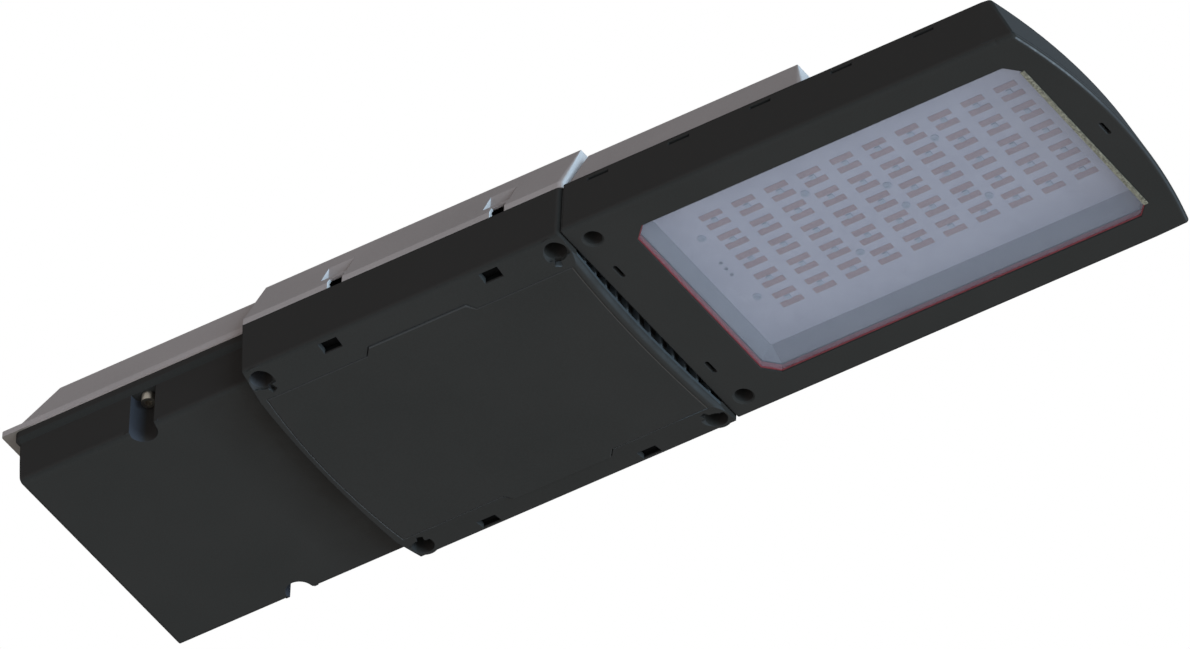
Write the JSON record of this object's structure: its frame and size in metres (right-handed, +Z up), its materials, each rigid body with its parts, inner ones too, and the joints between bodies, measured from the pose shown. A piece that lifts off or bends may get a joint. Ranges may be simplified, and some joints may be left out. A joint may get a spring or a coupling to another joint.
{
  "type": "modular led street light head",
  "caption": "Long flat LED street light head with a clamp socket for a pole arm, a driver compartment with an access plate and a glazed LED module with a curved nose.",
  "frame": {"origin": "middle of the pole socket's mouth, on the axis of the pole arm, in the plane of the adapter's rear wall", "axes": "+X along the pole socket from the mouth to the nose, +Z up with the light leaving along -Z, +Y to the left seen from the pole"},
  "size_m": [0.8164, 0.21, 0.0958],
  "materials": {
    "dark_casting": "dark grey powder coat on die-cast aluminium",
    "dark_plate": "dark grey powder coat on die-cast aluminium",
    "light_cover": "light grey powder coat, fine satin",
    "stainless": "plain stainless",
    "galvanised": "zinc plated steel",
    "black_rubber": "black EPDM",
    "black_plastic": "black moulded polyamide",
    "driver_case": "light grey moulded case",
    "surge_case": "dark moulded case",
    "terminal": "natural polyamide",
    "glass": "clear toughened glass",
    "silicone_red": "red silicone",
    "strip": "pale yellow, matt",
    "baffle": "pale blue-grey moulded polycarbonate",
    "board": "pale solder mask",
    "copper": "tinned copper under flux",
    "chip": "ceramic package with pale phosphor"
  },
  "bodies": {
    "root": {"rear_housing": "dark_casting", "rear_cover": "light_cover", "rear_cover_screws": "stainless", "clamp_saddle": "galvanised", "clamp_bolts": "galvanised", "clamp_washers": "galvanised", "joint_screws": "stainless", "driver_housing": "dark_casting", "driver_cover": "light_cover", "access_plate": "dark_plate", "plate_gasket": "black_rubber", "plate_latches": "black_plastic", "cover_screws": "stainless", "led_driver": "driver_case", "surge_protector": "surge_case", "terminal_block": "terminal", "fixing_screws": "galvanised", "cable_gland": "black_plastic", "joint_gasket": "black_rubber", "wire_tube": "black_rubber", "module_body": "dark_casting", "module_cover": "light_cover", "module_screws": "stainless", "lens": "glass", "lens_gasket": "silicone_red", "lens_end_strip": "strip", "baffle_frame": "baffle", "led_board": "board", "board_screws": "stainless", "pad_strips": "copper", "led_chips": "chip", "wire_pads": "copper"}
  },
  "joints": []
}
